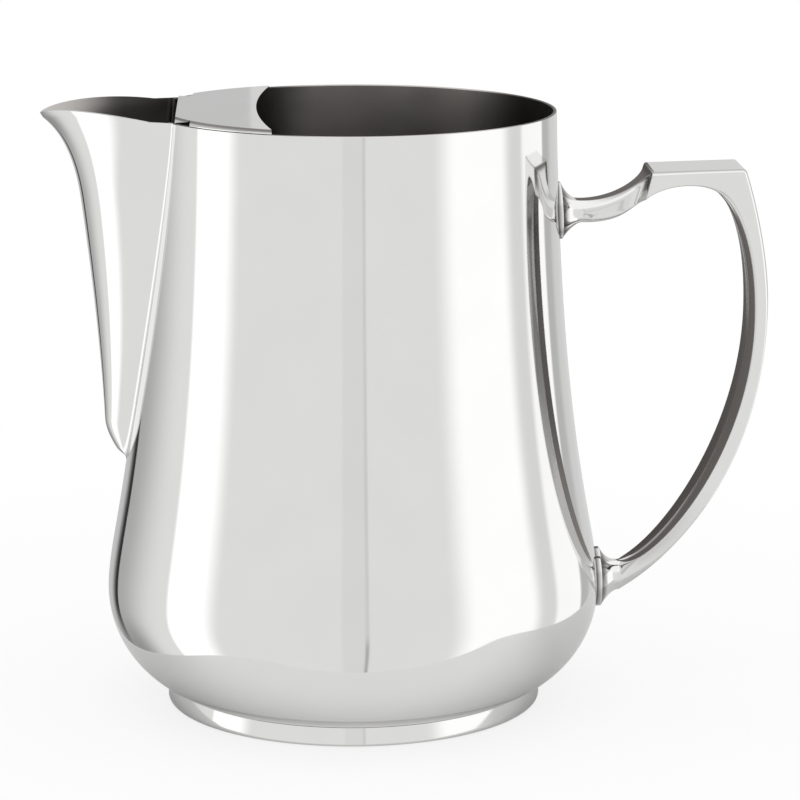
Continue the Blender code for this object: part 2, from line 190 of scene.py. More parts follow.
# Patterns of the finishes: how often each repeats in a metre along X, Y and Z
MOTTLE = (60.0, 60.0, 60.0)
WIPES = (24.0, 24.0, 38.0)
WAVES = (42.0, 42.0, 30.0)
CAST_GRAIN = (240.0, 240.0, 240.0)
TURNED_LINES = (14.0, 14.0, 1500.0)
SPOUT_LINES = (30.0, 30.0, 700.0)
GUARD_LINES = (320.0, 26.0, 320.0)
STRAP_LINES = (180.0, 900.0, 180.0)
PAD_LINES = (90.0, 900.0, 900.0)
INSIDE_MOTTLE = (45.0, 45.0, 45.0)
INSIDE_LINES = (18.0, 18.0, 1900.0)
PAPER_CLOUD = (9.0, 9.0, 9.0)
FELT_NAP = (300.0, 300.0, 300.0)

# Darkest and lightest tone of a mottled colour, and the tone of the painted shade inside
POLISH_TONES = (0.975, 1.02)
INSIDE_TONES = (0.90, 1.08)
PAPER_TONES = (0.99, 1.01)
PAINTED_SHADE_TONE = 0.12

# Roughness that wiping haze, buffing lines and the patina with its painted shade add, where in its
# pattern the haze lies, and what the mottling and the lines add inside
SHEET_HAZE = 0.03
GUARD_HAZE = 0.05
CAST_HAZE = 0.04
HAZE_RANGE = (0.45, 0.75)
LINE_ROUGHNESS = 0.02
PATINA_AND_SHADE_ROUGHNESS = 0.12
INSIDE_ROUGHNESS = (0.10, 0.06)

# Depth of the relief at a height of 1, and the heights of a hand's waves, the lines and a casting's
# grain
RELIEF = 0.000006
WAVE_SHARE = 0.9
LINE_SHARE = 0.012
CAST_SHARE = 1.5

# Place of the satin among the materials of a sheet
SATIN_PLACE = 1

# Painted shade inside, from clean to dark: along X from the axis, where the handle's side stands for
# a dark reflection and the spout's side for the guard's shadow, and from the spout's point towards
# the guard
BODY_SHADE_BANDS = ((0.036, 0.054), (-0.006, -0.024))
SPOUT_SHADE_BAND = (0.004, 0.026)
SHADE_WANDER = 0.004


def length(name, description, default):
    return bpy.props.FloatProperty(name=name, description=description, default=default,
                                   min=0.0, unit="LENGTH", precision=5)


def share(name, description, default):
    return bpy.props.FloatProperty(name=name, description=description, default=default,
                                   min=0.0, max=2.0, subtype="FACTOR")


def colour(name, description, default):
    return bpy.props.FloatVectorProperty(name=name, description=description, default=default,
                                         size=3, min=0.0, max=1.0, subtype="COLOR")


def place(name, description, default):
    return bpy.props.FloatVectorProperty(name=name, description=description, default=default,
                                         size=3, subtype="TRANSLATION", unit="LENGTH")


def angle(name, description, degrees):
    return bpy.props.FloatProperty(name=name, description=description,
                                   default=math.radians(degrees), subtype="ANGLE")


class PitcherBody(bpy.types.PropertyGroup):
    """Sizes of the spun body."""

    rim_height: length("Rim height", "Height of the rim over the table", BODY_HIGH.z)
    rim_radius: length("Rim radius", "Outer radius at the rim", 0.0581)
    rim_flare: share("Rim flare", "Slope of the wall at the rim", 0.02)
    rim_pull: length("Rim pull", "How far the straight neck runs down", 0.100)
    belly_radius: length("Belly radius", "Largest outer radius", BODY_HIGH.y)
    belly_pull: length("Belly pull", "How far the belly runs up", 0.0175)
    under_radius: length("Under radius", "Radius of the round under the belly", 0.0303)
    clearance: length("Clearance", "Height of the floor over the table", BODY_LOW.z)
    wall: length("Wall", "Thickness of the spun sheet", 0.0010)
    rounding: length("Rim rounding", "Radius of the polished rim edge", 0.0003)


class PitcherSpout(bpy.types.PropertyGroup):
    """Sizes of the spout: depths count down from the rim, proud sizes outward from the wall."""

    depth: length("Depth", "How far the spout runs down the wall", 0.1011)
    half_width: length("Half width", "Half the seam's width at the rim", 0.0278)
    end_half_width: length("End half width", "Half the seam's width at its foot", 0.0025)
    sheet: length("Sheet", "Thickness of the spout's sheet", 0.0009)
    flange: length("Flange", "Width of the fillet beside the seam", 0.0020)
    seam: length("Seam", "Clearance that the solder fills", 0.0003)
    knee_rise: length("Knee rise", "Height of the knee over the spout's foot", 0.0122)
    knee_proud: length("Knee proud", "How far the knee stands out", 0.0074)
    lip_depth: length("Lip depth", "Height of the flared lip", 0.025)
    lip_start_proud: length("Lip start", "How far the front stands out under the lip", 0.0181)
    lip_proud: length("Lip proud", "How far the lip's point stands out", 0.0303)
    lip_crown: length("Lip crown", "Rise of the lip's edge at mid side", 0.0016)
    lip_drop: length("Lip drop", "Drop of the lip's point below the rim", 0.0005)
    window_inset: length("Window inset", "How far the wall laps inside the seam", 0.0012)


class PitcherGuard(bpy.types.PropertyGroup):
    """Sizes of the ice guard: insets count inward from the rim."""

    sheet: length("Sheet", "Thickness of the guard", 0.00025)
    rise: length("Rise", "Height of the guard over the rim", 0.00075)
    flange: length("Flange", "Width of the flange along the rim", 0.0044)
    gap: length("Gap", "Clearance of the flange over the rim", 0.00008)
    # The crease is painted dark as the shadow of the gap under the plate
    crease: length("Crease", "Width of the dark crease over the flange", 0.0007)
    front_inset: length("Front inset", "Distance of the straight edge from the rim", 0.0084)
    flange_inset: length("Flange inset", "Distance of the flange's start from the rim", 0.0126)
    back_inset: length("Back inset", "Distance of the back corners from the rim", 0.0349)
    hollow: length("Hollow", "Depth of the hollow in the back edge", 0.0040)


class PitcherFoot(bpy.types.PropertyGroup):
    """Sizes of the foot band."""

    top_radius: length("Top radius", "Outer radius under the body", 0.0534)
    bottom_radius: length("Bottom radius", "Outer radius at the table", 0.0543)
    band: length("Band", "Thickness of the band", 0.0029)
    edge: length("Edge", "Radius of the bottom edge", 0.0006)


class PitcherHandle(bpy.types.PropertyGroup):
    """Sizes of the cast strap handle and its pads."""

    pad_sheet: length("Pad sheet", "Thickness of each pad", 0.0006)
    upper_pad: length("Upper pad", "Radius of the upper pad", 0.0082)
    lower_pad: length("Lower pad", "Radius of the lower pad", 0.0087)
    upper_drop: length("Upper drop", "Depth of the upper pad's centre below the rim", 0.0294)
    lower_rise: length("Lower rise", "Height of the lower pad's centre over the belly", 0.0010)
    flare_length: length("Flare length", "Length of the flared upper end", 0.0056)
    tail_length: length("Tail length", "Length of the flared lower end", 0.0052)
    flare_inset: length("Flare inset", "How far the flares stay inside the pads", 0.0003)
    neck_width: length("Neck width", "Width of the arm at its neck", 0.0110)
    neck_thickness: length("Neck thickness", "Thickness of the arm at its neck", 0.0062)
    tail_width: length("Tail width", "Width of the tail", 0.0095)
    tail_thickness: length("Tail thickness", "Thickness of the tail", 0.0086)
    tail_rise: length("Tail rise", "Rise of the tail over its pad's centre", 0.0005)
    rest_drop: length("Rest drop", "Depth of the thumb rest below the rim", 0.0172)
    rest_run: length("Rest run", "Distance of the thumb rest from its pad", 0.0245)
    rest_length: length("Rest length", "Length of the thumb rest", 0.0268)
    rest_rise: length("Rest rise", "Rise along the thumb rest", 0.0007)
    rest_width: length("Rest width", "Width of the thumb rest", 0.0224)
    grip_width: length("Grip width", "Largest width of the strap", 0.0240)
    grip_standoff: length("Grip standoff", "Distance of the grip from the belly", 0.04715)
    grip_drop: length("Grip drop", "Depth of the grip's outermost point below the rim", 0.0555)
    thickness: length("Thickness", "Thickness of the strap", 0.0039)
    edge: length("Edge", "Radius of the strap's outer edges", 0.0013)
    inner_edge: length("Inner edge", "Radius of the strap's inner edges", 0.0006)
    ridge: length("Ridge", "Height of the roof of the inner face", 0.0003)
    bead: length("Bead", "Height of the parting line on that roof", 0.00012)


class PitcherFinish(bpy.types.PropertyGroup):
    """Colours and polish of the metal."""

    steel: colour("Steel", "Colour of the polished metal", (0.74, 0.738, 0.73))
    inside: colour("Inside", "Colour of the satin inside", (0.50, 0.475, 0.455))
    # Colour of the patina and of the painted shade in creases, joints and on the handle's inner face
    patina_and_shade: colour("Patina", "Colour of the metal that the buffing misses", (0.16, 0.150, 0.142))
    gloss: share("Polish", "Roughness of the polished metal", 0.035)
    satin: share("Satin", "Roughness of the inside", 0.26)


class PitcherStudio(bpy.types.PropertyGroup):
    """Camera, floor, and the table and flag that the metal mirrors."""

    place: place("Camera place", "Place of the camera, from the pitcher's axis",
                 (-0.02881, -0.97277, 0.2974))
    tilt: angle("Tilt", "How far the camera looks down", 12.176)
    swing: angle("Swing", "How far the camera looks to the right", 2.5)
    lens: bpy.props.FloatProperty(name="Lens", description="Focal length on a 36 mm frame",
                                  default=154.87, subtype="DISTANCE_CAMERA")
    floor: colour("Floor", "Colour of the floor", (0.84, 0.84, 0.84))
    table: colour("Table", "Colour of the table that the metal mirrors", (0.70, 0.70, 0.70))
    floor_reach: length("Floor reach", "Half the width of the floor that fades into white", 0.42)
    table_low: place("Table low", "Front left corner of the table", (-0.104, -0.101, -0.0002))
    table_high: place("Table high", "Back right corner of the table", (0.14, 0.14, -0.0002))
    flag_low: place("Flag low", "Lowest corner of the dark flag behind", (-0.03, 0.30, -0.10))
    flag_high: place("Flag high", "Highest corner of the dark flag behind", (0.097, 0.30, 0.212))


class PitcherSettings(bpy.types.PropertyGroup):
    """All settings of the pitcher."""

    body: bpy.props.PointerProperty(type=PitcherBody)
    spout: bpy.props.PointerProperty(type=PitcherSpout)
    guard: bpy.props.PointerProperty(type=PitcherGuard)
    foot: bpy.props.PointerProperty(type=PitcherFoot)
    handle: bpy.props.PointerProperty(type=PitcherHandle)
    finish: bpy.props.PointerProperty(type=PitcherFinish)
    studio: bpy.props.PointerProperty(type=PitcherStudio)


# Shader expressions


class Wire:
    """A shader value: arithmetic on it adds Math nodes to its recipe."""

    def __init__(self, recipe, socket):
        self.recipe = recipe
        self.socket = socket

    def math(self, operation, *values):
        sockets = dict(enumerate(values))
        return self.recipe.node("Math", {"operation": operation}, sockets)

    def __add__(self, other):
        return self.math("ADD", self, other)

    def __sub__(self, other):
        return self.math("SUBTRACT", self, other)

    def __rsub__(self, other):
        return self.math("SUBTRACT", other, self)

    def __mul__(self, other):
        return self.math("MULTIPLY", self, other)

    __radd__ = __add__
    __rmul__ = __mul__

    def step(self, low, high):
        """A smooth step from 0 at low to 1 at high."""
        sockets = {"Value": self, "From Min": low, "From Max": high}
        return self.recipe.node("MapRange", {"interpolation_type": "SMOOTHSTEP"}, sockets)


class Recipe:
    """The nodes of one material or world."""

    def __init__(self, owner):
        owner.use_nodes = True
        self.tree = owner.node_tree
        self.tree.nodes.clear()

    def node(self, kind, settings=None, sockets=None, output=0):
        """Adds a node with its settings, then the values or links of its sockets."""
        made = self.tree.nodes.new("ShaderNode" + kind)
        for name, value in (settings or {}).items():
            setattr(made, name, value)
        for name, value in (sockets or {}).items():
            if isinstance(value, Wire):
                self.tree.links.new(value.socket, made.inputs[name])
            else:
                made.inputs[name].default_value = value
        return Wire(self, made.outputs[output] if len(made.outputs) else None)

    def places(self, stretch):
        """Object coordinates about the axis, stretched per direction."""
        coordinates = self.node("TexCoord", output="Object")
        moved = {"Vector": coordinates, "Location": (-AXIS, 0.0, 0.0)}
        centred = self.node("Mapping", {}, moved)
        return self.node("VectorMath", {"operation": "MULTIPLY"}, {0: centred, 1: stretch})

    def noise(self, stretch, detail=2.0, roughness=0.5):
        sockets = {"Vector": self.places(stretch), "Scale": 1.0, "Detail": detail,
                   "Roughness": roughness}
        return self.node("TexNoise", {}, sockets)

    def blend(self, factor, first, second):
        """A mix of two colours."""
        return self.node("Mix", {"data_type": "RGBA"}, {0: factor, 6: first, 7: second}, 2)


def tinted(base, level):
    return tuple(min(1.0, channel * level) for channel in base) + (1.0,)


def shaded_metal(recipe, tone, rough, heights):
    """Ends a recipe in metal with a fine relief."""
    bump = recipe.node("Bump", {}, {"Strength": 1.0, "Distance": RELIEF, "Height": heights})
    shader = recipe.node("BsdfPrincipled", {}, {
        "Base Color": tone, "Metallic": 1.0, "Roughness": rough, "Normal": bump})
    recipe.node("OutputMaterial", {}, {"Surface": shader})


def polished_metal(name, finish, grain, haze, cast=False):
    """Buffed metal: mottling, wiping haze, buffing lines, a hand's waves, and patina with painted
    shade in creases and joints.
    """
    material = bpy.data.materials.new(name)
    recipe = Recipe(material)
    mottle = recipe.noise(MOTTLE, detail=3.0)
    wipes = recipe.noise(WIPES, detail=4.0, roughness=0.6)
    lines = recipe.noise(grain, roughness=0.7)
    waves = recipe.noise(WAVES, detail=1.0)
    # Patina with painted shade, from each piece's own attribute: creases, joints and the handle's
    # inner face are painted dark
    patina_and_shade = recipe.node("Attribute", {"attribute_name": "patina_and_shade"}, output="Fac")
    clean = recipe.blend(mottle, *(tinted(finish.steel, level) for level in POLISH_TONES))
    tone = recipe.blend(patina_and_shade, clean, (*finish.patina_and_shade, 1.0))
    rough = (finish.gloss + haze * wipes.step(*HAZE_RANGE) + LINE_ROUGHNESS * lines
             + PATINA_AND_SHADE_ROUGHNESS * patina_and_shade)
    heights = waves * WAVE_SHARE + lines * LINE_SHARE
    if cast:
        heights = heights + CAST_SHARE * recipe.noise(CAST_GRAIN)
    shaded_metal(recipe, tone, rough, heights)
    return material


def satin_metal(name, finish, shade_bands):
    """The unbuffed inside: turned lines and a dull, slightly warm sheen, with painted shade along X.
    """
    material = bpy.data.materials.new(name)
    recipe = Recipe(material)
    mottle = recipe.noise(INSIDE_MOTTLE, detail=4.0, roughness=0.6)
    lines = recipe.noise(INSIDE_LINES, detail=3.0, roughness=0.7)
    tone = recipe.blend(mottle, *(tinted(finish.inside, level) for level in INSIDE_TONES))
    east = recipe.node("SeparateXYZ", {}, {0: recipe.places((1.0,) * 3)})
    # Painted shade and painted reflection: bands along X darkened to the painted shade tone
    for shade_band in shade_bands:
        painted_shade = (east + SHADE_WANDER * mottle).step(*shade_band)
        tone = recipe.blend(painted_shade, tone, tinted(finish.inside, PAINTED_SHADE_TONE))
    from_mottle, from_lines = INSIDE_ROUGHNESS
    rough = finish.satin + from_mottle * mottle + from_lines * lines
    shaded_metal(recipe, tone, rough, lines)
    return material


# Curves and meshes


def bezier(start, start_pull, end_pull, end, steps):
    """Points of a cubic curve whose pulls are offsets from its two ends."""
    first, last = Vector((*start, 0.0)), Vector((*end, 0.0))
    handles = first + Vector((*start_pull, 0.0)), last + Vector((*end_pull, 0.0))
    return [point.xy for point in interpolate_bezier(first, *handles, last, steps + 1)]


def heading(degrees, distance):
    """A step of a distance in a direction, counted from the first axis to the second."""
    turned = math.radians(degrees)
    return Vector((math.cos(turned), math.sin(turned))) * distance


def cubic(points, along):
    """A point of the cubic curve of four points, at a share along it."""
    rest = 1.0 - along
    first, second, third, last = points
    return (first * rest**3 + second * 3 * along * rest**2
            + third * 3 * along**2 * rest + last * along**3)


def cubic_slope(points, along):
    """The direction in which that curve runs."""
    rest = 1.0 - along
    first, second, third, last = points
    return ((second - first) * 3 * rest**2 + (third - second) * 6 * along * rest
            + (last - third) * 3 * along**2)


def smooth(low, high, value):
    """A smooth step from 0 at low to 1 at high."""
    along = min(1.0, max(0.0, (value - low) / (high - low)))
    return along * along * (3.0 - 2.0 * along)


class Wall:
    """The body's outer wall: its profile from the rim down, and its radius by height."""

    def __init__(self, body, shoulder_rows, under_rows):
        belly = Vector((body.belly_radius, body.clearance + body.under_radius))
        self.belly_height = belly.y
        self.points = bezier(
            (body.rim_radius, body.rim_height),
            (body.rim_flare * body.rim_pull, -body.rim_pull),
            (0.0, body.belly_pull),
            belly,
            shoulder_rows,
        )
        centre = belly - Vector((body.under_radius, 0.0))
        for row in range(1, under_rows + 1):
            self.points.append(centre + heading(-90 * row / under_rows, body.under_radius))
        upward = self.points[::-1]
        self.heights = [point.y for point in upward]
        self.radii = [point.x for point in upward]

    def radius(self, height):
        return float(np.interp(height, self.heights, self.radii))


def fine_wall(body):
    """The wall that places are read from."""
    return Wall(body, READ_SHOULDER_ROWS, READ_UNDER_ROWS)


def spun(points, turns):
    """A bmesh of (radius, height) points turned once about Z."""
    bm = bmesh.new()
    verts = [bm.verts.new((radius, 0.0, height)) for radius, height in points]
    edges = [bm.edges.new(pair) for pair in zip(verts, verts[1:])]
    bmesh.ops.spin(bm, geom=verts + edges, cent=(0.0, 0.0, 0.0), axis=(0.0, 0.0, 1.0),
                   dvec=(0.0, 0.0, 0.0), angle=math.tau, steps=turns, use_merge=True,
                   use_normal_flip=False, use_duplicate=False)
    bmesh.ops.remove_doubles(bm, verts=bm.verts, dist=SAME_POINT)
    bmesh.ops.recalc_face_normals(bm, faces=bm.faces)
    return bm


def point_outward(bm, outward):
    """Turns an open sheet round where most of its faces look against outward(face)."""
    bm.normal_update()
    facing = sum(face.calc_area() * face.normal.dot(outward(face)) for face in bm.faces)
    if facing < 0.0:
        bmesh.ops.reverse_faces(bm, faces=bm.faces)
        bm.normal_update()


def from_axis(face):
    centre = face.calc_center_median()
    return Vector((centre.x, centre.y, 0.0))


def weigh_rim(bm, height):
    """Marks the open edges at or over a height, which the bevel then rounds."""
    layer = bm.edges.layers.float.new("bevel_weight_edge")
    rim = [edge for edge in bm.edges if edge.is_boundary
           and min(vert.co.z for vert in edge.verts) > height]
    if not rim:
        raise RuntimeError("the sheet has no open rim")
    for edge in rim:
        edge[layer] = 1.0


def finish_piece(name, bm, node, slot, *materials):
    """A piece on the pitcher's axis that stands for a node of the frame."""
    bmesh.ops.translate(bm, verts=bm.verts, vec=(AXIS, 0.0, 0.0))
    mesh = bpy.data.meshes.new(name)
    bm.to_mesh(mesh)
    bm.free()
    for material in materials:
        mesh.materials.append(material)
    mesh.shade_smooth()
    piece = bpy.data.objects.new(name, mesh)
    bpy.context.scene.collection.objects.link(piece)
    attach(piece, "root")
    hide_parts(node)
    return piece


def sharpen(piece, degrees):
    piece.data.set_sharp_from_angle(angle=math.radians(degrees))


def give_wall(piece, thickness):
    """Gives an open sheet its thickness inward, with satin on the inner side."""
    shell = piece.modifiers.new("wall", "SOLIDIFY")
    shell.thickness = thickness
    shell.offset = -1.0
    shell.use_even_offset = True
    shell.use_quality_normals = True
    shell.material_offset = SATIN_PLACE
    return shell


def round_rim(piece, radius):
    """Rounds the edges that weigh_rim has marked."""
    edges = piece.modifiers.new("edges", "BEVEL")
    edges.width = radius
    edges.segments = ROUNDING_SEGMENTS
    edges.limit_method = "WEIGHT"
    edges.harden_normals = True


# Body


def seam_curve(settings, rows):
    """(half width, height) points up one side of the line where the spout meets the wall."""
    spout, body = settings.spout, settings.body

    def pull(shares):
        return Vector((shares[0] * spout.half_width, shares[1] * spout.depth))

    start = Vector((spout.end_half_width, body.rim_height - spout.depth))
    top = Vector((spout.half_width, body.rim_height))
    return bezier(start, pull(SEAM_END_PULL), pull(SEAM_RIM_PULL), top, rows)


def open_window(bm, settings, wall):
    """Draws the wall's columns onto the spout's outline, and opens the wall between them."""
    spout, body = settings.spout, settings.body
    seam = seam_curve(settings, 2 * READ_CURVE_STEPS)
    heights = [point.y for point in seam]
    halves = [point.x for point in seam]
    lowest = body.rim_height - spout.depth + spout.flange + spout.window_inset
    border = math.tau * WINDOW_COLUMNS / BODY_TURNS

    def window(height):
        held = max(height, lowest)
        half = max(float(np.interp(held, heights, halves)) - spout.window_inset,
                   spout.end_half_width / 2)
        drawn = math.asin(half / wall.radius(held))
        return border + (drawn - border) * smooth(lowest - WINDOW_EASE, lowest, height)

    inside = []
    for face in bm.faces:
        centre = face.calc_center_median()
        if abs(math.atan2(centre.y, -centre.x)) < border and centre.z > lowest:
            inside.append(face)
    for vert in bm.verts:
        around = math.atan2(vert.co.y, -vert.co.x)
        reach = math.hypot(vert.co.x, vert.co.y)
        drawn = window(vert.co.z)
        if abs(around) <= border:
            moved = abs(around) * drawn / border
        else:
            moved = drawn + (abs(around) - border) * (math.pi - drawn) / (math.pi - border)
        vert.co.x = -reach * math.cos(moved)
        vert.co.y = math.copysign(reach * math.sin(moved), around)
    bmesh.ops.delete(bm, geom=inside, context="FACES")


class PITCHER_OT_body(bpy.types.Operator):
    """Spin the bell-shaped body and open its wall behind the spout"""

    bl_idname = "pitcher.build_body"
    bl_label = "Build Body"

    def execute(self, context):
        settings = context.scene.pitcher
        body = settings.body
        wall = Wall(body, SHOULDER_ROWS, UNDER_ROWS)
        profile = [tuple(point) for point in wall.points]
        edge, floor = profile[-1]
        profile += [(edge * (1.0 - ring / FLOOR_RINGS), floor) for ring in range(1, FLOOR_RINGS)]
        profile.append((0.0, floor))
        bm = spun(profile, BODY_TURNS)
        point_outward(bm, from_axis)
        open_window(bm, settings, fine_wall(body))
        weigh_rim(bm, body.rim_height - body.rounding)
        polish = polished_metal("polished_body", settings.finish, TURNED_LINES, SHEET_HAZE)
        # Painted reflection inside on the handle's side, and painted shade of the guard on the
        # spout's side
        satin = satin_metal("satin_inside", settings.finish, BODY_SHADE_BANDS)
        piece = finish_piece("pitcher_body", bm, "body_shell", "body", polish, satin)
        give_wall(piece, body.wall).material_offset_rim = SATIN_PLACE
        round_rim(piece, body.rounding)
        return {"FINISHED"}


# Spout


def nose_curve(settings):
    """(distance proud of the wall, height) points up the spout's front, inside the sheet."""
    spout, body = settings.spout, settings.body
    end = Vector((0.0, body.rim_height - spout.depth))
    knee = end + Vector((spout.knee_proud, spout.knee_rise))
    lip = Vector((spout.lip_start_proud, body.rim_height - spout.lip_depth))
    edge = Vector((spout.lip_proud, body.rim_height))
    run = lip - knee
    steps = READ_CURVE_STEPS
    toe = bezier(end, (knee - end) * Vector(TOE_PULL), -KNEE_PULL * run, knee, steps)
    front = bezier(knee, FRONT_PULL * run, -FRONT_PULL * run, lip, steps)
    rolled = bezier(lip, LIP_START_PULL * run, (edge - lip) * Vector(LIP_PULL), edge, steps)
    line = toe + front[1:] + rolled[1:]
    return [(max(point.x - spout.sheet, 0.0), point.y) for point in line]


class SpoutRow:
    """One level section of the spout's inner surface, from flange to flange."""

    def __init__(self, settings, wall, half, height, proud):
        spout = settings.spout
        radius = wall.radius(height) + spout.seam
        around = math.asin(half / radius)
        lapped = around + spout.flange / radius
        corner = Vector((-radius * math.cos(around), radius * math.sin(around)))
        nose = Vector((-radius - proud, 0.0))
        side = Vector((corner.x + SIDE_RUN * (nose.x - corner.x), SIDE_CLOSE * half))
        from_rim = (settings.body.rim_height - height) / spout.lip_depth
        lip = max(0.0, 1.0 - from_rim)**2
        front = Vector((nose.x, (NOSE_ROUND + (LIP_ROUND - NOSE_ROUND) * lip) * half))
        self.height = height
        self.flange = Vector((-radius * math.cos(lapped), radius * math.sin(lapped)))
        self.curve = (corner, side, front, nose)
        self.start = min(FILLET_LIMIT, FILLET_REACH * spout.flange / (corner - nose).length)
        self.bend = cubic(self.curve, self.start)
        back = cubic_slope(self.curve, self.start).normalized()
        self.root = self.bend - back * (self.bend - corner).length
        self.crown = spout.lip_crown * lip
        self.drop = spout.lip_drop * lip

    def point(self, across):
        """A point of the section: across runs from -1 at one flange to 1 at the other."""
        from_nose = abs(across)
        rise = 0.0
        if from_nose > 1.0 - FLANGE_SHARE:
            along = (from_nose - 1.0 + FLANGE_SHARE) / FLANGE_SHARE
            rest = 1.0 - along
            flat = self.bend * rest**2 + self.root * 2 * along * rest + self.flange * along**2
        else:
            to_nose = 1.0 - from_nose / (1.0 - FLANGE_SHARE)
            flat = cubic(self.curve, self.start + (1.0 - self.start) * to_nose)
            rise = self.crown * CROWN_SCALE * to_nose * (1.0 - to_nose)**CROWN_FALL
            rise -= self.drop * to_nose**3
        return Vector((flat.x, math.copysign(flat.y, -across), self.height + rise))


class PITCHER_OT_spout(bpy.types.Operator):
    """Loft the spout's sheet with its flared lip and blend it onto the wall"""

    bl_idname = "pitcher.build_spout"
    bl_label = "Build Spout"

    def execute(self, context):
        settings = context.scene.pitcher
        spout, body = settings.spout, settings.body
        wall = fine_wall(body)
        line = nose_curve(settings)
        prouds = [proud for proud, _ in line]
        levels = [level for _, level in line]
        rows = [SpoutRow(settings, wall, half, height, float(np.interp(height, levels, prouds)))
                for half, height in seam_curve(settings, SPOUT_ROWS)]
        bm = bmesh.new()
        bmesh.ops.create_grid(bm, x_segments=SPOUT_COLUMNS, y_segments=SPOUT_ROWS, size=1.0)
        thin = {}
        top = []
        for vert in bm.verts:
            row = round((vert.co.y + 1.0) / 2.0 * SPOUT_ROWS)
            across = vert.co.x
            side = smooth(1.0 - FLANGE_SHARE, 1.0, abs(across))
            foot = 1.0 - smooth(0.0, FOOT_THINNING, rows[row].height - rows[0].height)
            thin[vert.index] = max(side, foot)
            if row == SPOUT_ROWS:
                top.append(vert)
            vert.co = rows[row].point(across)
        point_outward(bm, from_axis)
        drop = spout.sheet + spout.seam - BORDER_CLEARANCE
        shifts = [vert.normal * (spout.sheet - drop * thin[vert.index]) for vert in bm.verts]
        for vert in top:
            shifts[vert.index].z = 0.0
        for vert, shift in zip(bm.verts, shifts):
            vert.co += shift
        weigh_rim(bm, body.rim_height - spout.lip_drop - body.rounding)
        weights = [1.0 - thin[vert.index] for vert in bm.verts]
        polish = polished_metal("polished_spout", settings.finish, SPOUT_LINES, SHEET_HAZE)
        # Painted shade inside the spout, growing from its point towards the guard
        tip = -body.rim_radius - spout.lip_proud
        shade_band = tuple(tip + distance for distance in SPOUT_SHADE_BAND)
        satin = satin_metal("satin_spout", settings.finish, (shade_band,))
        piece = finish_piece("pouring_spout", bm, "spout", "spout", polish, satin)
        group = piece.vertex_groups.new(name="sheet")
        for index, weight in enumerate(weights):
            group.add([index], weight, "REPLACE")
        shell = give_wall(piece, spout.sheet)
        shell.vertex_group = group.name
        shell.thickness_vertex_group = BORDER_THICKNESS
        round_rim(piece, spout.sheet * LIP_EDGE)
        return {"FINISHED"}


# Ice guard


